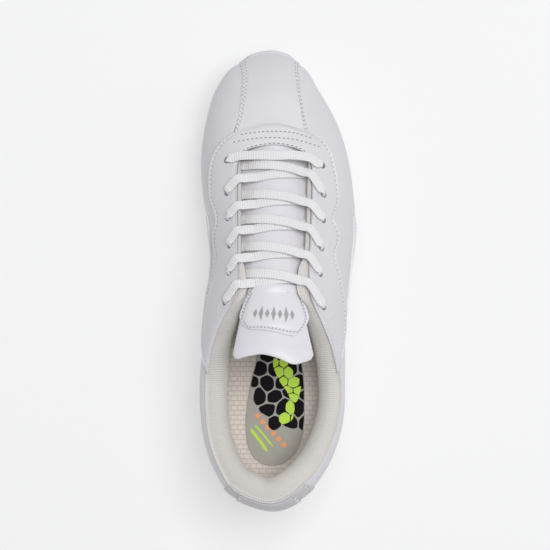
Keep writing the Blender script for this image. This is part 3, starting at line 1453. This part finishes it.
def rail(route):
    """Points, (side, ahead) directions and width shares along the route."""
    spots, normals = [], []
    for y, across, depth, _ in route:
        k = station_of(y)
        spots.append(on_instep(k, across, depth))
        normals.append(instep_normal(k, across))
    sides, last = [], None
    for i in range(len(spots)):
        ahead = (spots[min(i + 1, len(spots) - 1)] - spots[max(i - 1, 0)]).normalized()
        flat = normals[i].cross(ahead)
        if last is not None and flat.length < 0.75:
            flat = last - ahead * last.dot(ahead)
        elif last is not None and flat.dot(last) < 0:
            flat = -flat
        last = flat.normalized()
        sides.append(last)
    return spots, sides, [share for *_, share in route]


spots, sides, shares = rail(lace_route())
print("lace:", len(spots), "places,", round(sum((b - a).length for a, b in zip(spots, spots[1:]))), "mm long")

# %% Lace ribbon
LACE_STEPS = 5  # finer places between two places of the route


def finer(values):
    """A smooth run through values, LACE_STEPS times as many."""
    last = len(values) - 1
    run = []
    for i in range(last):
        near = [values[max(0, min(last, i + k))] for k in (-1, 0, 1, 2)]
        run += [catmull(*near, t / LACE_STEPS) for t in range(LACE_STEPS)]
    return run + [values[-1]]


def make_lace():
    line, across = finer(spots), [side.normalized() for side in finer(sides)]
    width = [max(0.0, min(1.0, share)) for share in finer(shares)]
    travelled = [0.0]
    for a, b in zip(line, line[1:]):
        travelled.append(travelled[-1] + (b - a).length)
    last, ring = len(line) - 1, 16
    bm = bmesh.new()
    bmesh.ops.create_grid(bm, x_segments=last, y_segments=ring, size=0.5)
    bmesh.ops.translate(bm, vec=(0.5, 0.5, 0), verts=bm.verts)

    def section(y):
        """Across (-1 to 1) and up (-1 to 1) round a flat ribbon with full, round edges."""
        turn = 2 * math.pi * y
        c, s = math.cos(turn), math.sin(turn)
        return math.copysign(abs(c) ** 0.75, c), math.copysign(abs(s) ** 0.55, s)

    def on_braid(co):
        i = round(co.x * last)
        half = LACE_WIDTH / 2
        return travelled[i], half + section(co.y)[0] * half * mix(0.5, 1, width[i])

    lay_cloth(bm, on_braid)

    def place(x, y, z):
        i = round(x * last)
        ahead = (line[min(i + 1, last)] - line[max(i - 1, 0)]).normalized()
        side = (across[i] - ahead * ahead.dot(across[i])).normalized()
        wide, thick = (mix(a, b, smooth(width[i])) for a, b in zip(LACE_IN_HOLE, (LACE_WIDTH, LACE_THICK)))
        out, up = section(y)
        ripple = 1 + 0.02 * noise.noise(line[i] * 0.35)
        return line[i] + side * wide / 2 * out * ripple + ahead.cross(side) * thick / 2 * up

    placed(bm, place)
    bmesh.ops.remove_doubles(bm, verts=bm.verts, dist=0.0005)
    bmesh.ops.holes_fill(bm, edges=[e for e in bm.edges if e.is_boundary])
    return finished("flat_lace", bm, LACE_COTTON, "lace_fabric", ["lace"])


make_lace()
for node in ("aglet_medial", "aglet_lateral"):
    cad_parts[node].data.materials[0] = TIP_PLASTIC
print("lace tips keep their solids")

# %% [markdown]
# ## Sole
#
# The midsole is one block of white foam with a slightly flared foot and two grooves round its wall. The
# rubber outsole has a tread of small pads. Seen from above only the rubber lip over the toe tip shows,
# but from the side the sole is half of the shoe.


# %% Midsole
def make_midsole():
    def place(u, v, z):
        groove = channel(z - 0.80, 0.8, 0.035) + channel(z - 0.30, 0.6, 0.03)
        edge_on = min(min(u, 1 - u) * 90, min(v, 1 - v) * 270) < 0.01
        inset = -mix(2.4, 0.6, z) - 0.9 * math.sin(math.pi * z) + (groove if edge_on else 0.0)
        flat = sole_point(u, v, round(inset, 3))
        lip = 1.5 if edge_on else 0.0
        low, high = max(0, along(GROUND, flat.y)) + OUTSOLE, along(FEATHER, flat.y) - 0.6 + lip
        return Vector((flat.x, flat.y, mix(low, high, z)))

    return cut("midsole_wall", (28, 110), place, MIDSOLE_FOAM, "sole_foam", ["midsole"], wall=40,
               rounding=0.6)


make_midsole()


# %% Outsole with its tread
def make_outsole():
    base = 1.6  # how deep the tread is

    def place(u, v, z):
        flat = sole_point(u, v, -2.6)
        low = max(0, along(GROUND, flat.y))
        return Vector((flat.x, flat.y, low + mix(base, OUTSOLE, z)))

    bm = slab(11, 34)
    under = [f for f in bm.faces if f.normal.z < -0.5 and 0.07 < f.calc_center_median().x < 0.93
             and 0.02 < f.calc_center_median().y < 0.98]
    placed(bm, place)
    bmesh.ops.recalc_face_normals(bm, faces=bm.faces)
    bmesh.ops.inset_individual(bm, faces=under, thickness=0.85, depth=base, use_even_offset=True)
    print("tread pads:", len(under))
    return finished("outsole_tread", bm, SOLE_RUBBER, "sole_rubber", ["outsole"], rounding=0.25)


make_outsole()


# %% Toe lip
def make_toe_lip():
    half = 0.98

    def place(x, y, z):
        s = mix(-half, half, x)
        widest, _, inward, _ = rib(s)
        floor, ground = along(FEATHER, widest.y), along(GROUND, widest.y)
        fade = smooth(min(x, 1 - x) / 0.26)
        height = mix(ground + OUTSOLE + 2, floor + mix(4.5, 8.0, fade), y)
        out = mix(-2.4, mix(0.6, 3.3, fade) - 1.2 * max(0, 2 * y - 1) ** 2, z)
        return Vector((widest.x, widest.y, height)) - inward * out

    return cut("toe_lip", (110, 26), place, SOLE_RUBBER, "sole_rubber", ["toe_bumper"], wall=2, rounding=0.5)


make_toe_lip()

# %% [markdown]
# ## Footbed
#
# The footbed is a separate layer of foam under checked cloth, and it lifts out at the heel. A thin grey
# film is printed on it, with rounded six-sided cells in black and a strip of smaller green ones. The
# cells are cut from circles of six points, their corners rounded by a bevel, and laid on the film.
# Cells that reach past the film are pulled back to its edge.

# %% Footbed and film
INSOLE_THICK = 4.2
INSOLE_BASE = 2 * GAP + 1.4


def insole_top(y):
    return along(FEATHER, y) + INSOLE_BASE + INSOLE_THICK


def make_footbed():
    def place(u, v, z):
        flat = sole_point(u, v, 6.3)
        rise = 0.8 * smooth((abs(2 * u - 1) - 0.75) / 0.25) * z
        return Vector((flat.x, flat.y, insole_top(flat.y) - INSOLE_THICK * (1 - z) + rise))

    return cut("footbed", (40, 150), place, FOOTBED_CLOTH, "cream_textile", ["insole"], wall=3,
               body=INSOLE_LAYER, rounding=0.6)


# The film's two long edges as (y, x), from its round heel end to under the tongue.
FILM_MEDIAL = [(-115.2, -4.5), (-114.4, -9.3), (-111.5, -13.8), (-107, -17.2), (-100, -19.4), (-90, -20.2),
               (-82, -19.9), (-64, -17.1), (-47, -13.2), (0, -11), (24, -9), (31, -5)]
FILM_LATERAL = [(-115.2, -3.5), (-114.4, 1.5), (-111.5, 6.6), (-107, 10.8), (-100, 14.2), (-90, 16.0),
                (-82, 16.4), (-64, 16.1), (-47, 14.2), (0, 13), (24, 9), (31, 1)]


def film_inside(x, y, margin=0.45):
    """The place itself, or the nearest one on the film if it lies outside."""
    y = max(-114.0, y)
    return max(along(FILM_MEDIAL, y) + margin, min(along(FILM_LATERAL, y) - margin, x)), y


def on_film(x, y, lift):
    return Vector((x, y, insole_top(y) + lift))


def make_film():
    def place(u, v, z):
        y = mix(-115.2, 31.0, 0.5 - 0.5 * math.cos(math.pi * v))
        return on_film(mix(along(FILM_MEDIAL, y), along(FILM_LATERAL, y), u), y, GAP + 0.4 * z)

    return cut("footbed_film", (24, 150), place, PRINT_FILM, "print_film", ["insole_print"],
               body=INSOLE_LAYER, rounding=0.12)


make_footbed()
make_film()

# %% Cells
FILM_TOP = GAP + 0.4


def uneven(x, y):
    """A slow warp, so that no two cells are alike but their edges still run side by side."""
    place = Vector((x * 0.085, y * 0.085, 2.0))
    return x + 2.6 * noise.noise(place), y + 2.6 * noise.noise(place + Vector((7, 3, 5)))


def cell(bm, x, y, radius, lift, corner, fit):
    """One rounded six-sided cell on the film. fit(x, y) keeps its points inside an outline."""
    before = set(bm.faces)
    verts = bmesh.ops.create_circle(bm, cap_ends=True, segments=6, radius=radius)["verts"]
    bmesh.ops.bevel(bm, geom=verts, offset=radius * corner, offset_type="OFFSET", segments=4, profile=0.5,
                    affect="VERTICES", material=-1)
    face = next(f for f in bm.faces if f not in before)
    top = bmesh.ops.extrude_face_region(bm, geom=[face], use_keep_orig=True)["geom"]
    raised = [g for g in top if isinstance(g, bmesh.types.BMVert)]
    for v in raised:
        v.co.z = 1
    for v in [*face.verts, *raised]:
        high = v.co.z
        v.co = on_film(*fit(*uneven(x + v.co.x, y + v.co.y)), lift + 0.22 * high)


BLACK_END = [(-20, -66), (-12, -74), (-8, -82), (-5, -88), (2, -92), (16, -92)]  # last row as (x, y)


def make_black_cells(pitch=9.5):
    """Rows of cells from under the tongue to a slanting lower edge."""
    bm = bmesh.new()
    count = 0
    for row in range(-1, 11):
        for column in range(-3, 4):
            x, y = -2.0 + pitch * (column + (0.5 if row % 2 else 0)), -6.0 - pitch * 0.866 * row
            if along(FILM_MEDIAL, y) - 2 < x < along(FILM_LATERAL, y) + 2 and y > along(BLACK_END, x):
                cell(bm, x, y, 4.95, FILM_TOP, 0.30, film_inside)
                count += 1
    print("black cells:", count)
    return finished("black_cells", bm, PRINT_BLACK, "print_film", body=INSOLE_LAYER)


GREEN_MIDDLE = [(-90, 4.0), (-84, 5.2), (-78, 7.6), (-70, 9.6), (-62, 6.8), (-52, 2.6), (-44, 0.5)]
GREEN_HALF = [(-90, 1.2), (-87, 4.2), (-80, 3.6), (-72, 3.4), (-64, 6.2), (-56, 6.6), (-50, 5.0), (-46, 1.5)]


def inside_green(x, y):
    y = max(-89.5, min(-45.5, y))
    middle, half = along(GREEN_MIDDLE, y), along(GREEN_HALF, y)
    return film_inside(max(middle - half, min(middle + half, x)), y)


def make_green_cells(pitch=6.6):
    """A bent strip of smaller cells."""
    bm = bmesh.new()
    count = 0
    for row in range(9):
        for column in range(-2, 5):
            x, y = pitch * (column + (0.5 if row % 2 else 0)), -46.0 - pitch * 0.866 * row
            if abs(x - along(GREEN_MIDDLE, y)) < along(GREEN_HALF, y) + 1.3:
                cell(bm, x, y, 3.5, FILM_TOP + 0.24, 0.26, inside_green)
                count += 1
    print("green cells:", count)
    return finished("green_cells", bm, PRINT_GREEN, "print_film", body=INSOLE_LAYER)


make_black_cells()
make_green_cells()


# %% Plain dashes and a bar at the heel of the film
def make_strip(name, points, wide, material):
    """A thin painted strip along (x, y) points."""
    xs = [(i / (len(points) - 1), p[0]) for i, p in enumerate(points)]
    ys = [(i / (len(points) - 1), p[1]) for i, p in enumerate(points)]

    def place(x, y, z):
        ahead = Vector((along(xs, min(1, x + 0.02)) - along(xs, max(0, x - 0.02)),
                        along(ys, min(1, x + 0.02)) - along(ys, max(0, x - 0.02)))).normalized()
        half = wide * min(1.0, 6 * min(x + 0.02, 1.02 - x)) ** 0.5
        side = Vector((-ahead.y, ahead.x)) * half * (y - 0.5)
        return on_film(along(xs, x) + side.x, along(ys, x) + side.y, FILM_TOP + 0.2 * z)

    return cut(name, (26, 4), place, material, "print_film", body=INSOLE_LAYER)


for i in range(6):
    a, b = i / 6 + 0.01, (i + 0.72) / 6
    ends = [(mix(-14.2, 5.5, t), mix(-83.0, -104.5, t)) for t in (a, (a + b) / 2, b)]
    make_strip(f"orange_dash_{i + 1}", ends, 3.0, PRINT_ORANGE)
make_strip("green_bar", [(-17.0, -92.5), (-14.0, -96.5), (-10.5, -101.0), (-6.8, -106.5)], 2.0, PRINT_GREEN)
make_strip("green_bar_short", [(-14.6, -90.0), (-9.5, -95.6), (-3.2, -103.6)], 1.2, PRINT_GREEN)

# %% [markdown]
# ## Stitch rows on the upper
#
# Rows follow the edges they hold down: two inside each toe seam, two across the front of the eyestay
# with a third round the throat, one round the whole eyestay, and rows on the heel and the bands.

# %% Toe and eyestay rows
bm = bmesh.new()
for at_left in (True, False):
    for row in TOE_ROWS:
        path = []
        for i in range(40):
            w = mix(0.06, 0.83, i / 39)
            share = row / (34 + 14 * (w + 1) / 1.93)
            path.append((toe_station(share if at_left else 1 - share, w), w))
        sew_on_upper(bm, path, lambda w: 0.12 - toe_rise(w), step=2.6, thread=1.9)
sewn("toe_seam_stitches", bm)

bm = bmesh.new()


def plan_row(points, depth, s, w=0.88, **how):
    """A row along places seen from above."""
    xs = [(i / (len(points) - 1), p[0]) for i, p in enumerate(points)]
    ys = [(i / (len(points) - 1), p[1]) for i, p in enumerate(points)]
    path = []
    for i in range(41):
        s, w = upper_at(along(xs, i / 40), along(ys, i / 40), s, w)
        path.append((s, w))
    sew_on_upper(bm, path, depth, **how)


DASHES = {"step": 2.7, "thread": 1.5, "hole_long": 0.8}
for front_row in ([(-24.5, 87.6), (-14, 89.2), (-3.2, 89.8), (9, 89.0), (19.0, 85.9)],
                  [(-28.8, 82.8), (-16, 85.2), (-4, 86.0), (10, 84.8), (24.0, 80.6)]):
    plan_row(front_row, EYESTAY_LAYER[0] - 0.03, -3.0, **DASHES)


def eyestay_row(end, share, steps=400):
    """(s, w) pairs at that share of the eyestay's width, from one end to the other."""
    stations = [mix(-end, end, i / steps) for i in range(steps + 1)]
    return [(s, mix(eyestay_outer(s), 0.992, share)) for s in stations]


throat_row = eyestay_row(9.9, 1 - STITCH_INSET / EYESTAY_WIDE)
sew_on_upper(bm, [p for p in throat_row if abs(p[0]) < 3.4], EYESTAY_LAYER[0] + 0.2, **DASHES)
sewn("toe_row_stitches", bm, hole=NEEDLE_HOLE)

bm = bmesh.new()
outer_row = eyestay_row(10.6, STITCH_INSET / EYESTAY_WIDE)
for part in ([p for p in outer_row if p[0] < -2.9], [p for p in outer_row if p[0] > 2.9],
             [p for p in throat_row if p[0] < -3.4], [p for p in throat_row if p[0] > 3.4]):
    sew_on_upper(bm, part, EYESTAY_LAYER[0] + 0.40, step=2.8, thread=2.1, thick=0.3)
sewn("eyestay_stitches", bm)

# %% Heel and band rows
bm = bmesh.new()
for s in (HEEL - 1.35 + 0.1, HEEL + 1.3 - 0.1):
    sew_on_upper(bm, [(s, mix(-0.85, 0.80, i / 30)) for i in range(31)], HEEL_LAYER[0] + 0.15)
patch_depth = HEEL_LAYER[0] - 0.9 + 0.15
sew_on_upper(bm, [(mix(HEEL - 0.72, HEEL + 0.77, i / 30), -0.19) for i in range(31)], patch_depth)
for s in (HEEL - 0.74, HEEL + 0.79):
    upright = [(s, mix(-0.17, 0.72, i / 20)) for i in range(21)]
    sew_on_upper(bm, upright, patch_depth, step=3.2, thread=2.6, cross=True)
sewn("heel_stitches", bm)

bm = bmesh.new()
for side in (-1, 1):
    for edge in (-0.74, 0.74):
        marks = [mix(0.03, 0.97, i / 59) for i in range(60)]
        outwards = [(on_band(side, x, edge, -2.0) - on_band(side, x, edge, -1.0)).normalized() for x in marks]
        sew(bm, [on_band(side, x, edge, -1.0) for x in marks], outwards, step=2.4, thread=1.6, thick=0.26)
sewn("band_stitches", bm)

print("all rows sewn")

# %% Hidden stiffeners and board
for node, made in (("strobel_board", BOARD), ("toe_puff", STIFFENER), ("heel_counter", STIFFENER)):
    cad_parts[node].data.materials[0] = made

bpy.data.objects.remove(punches)
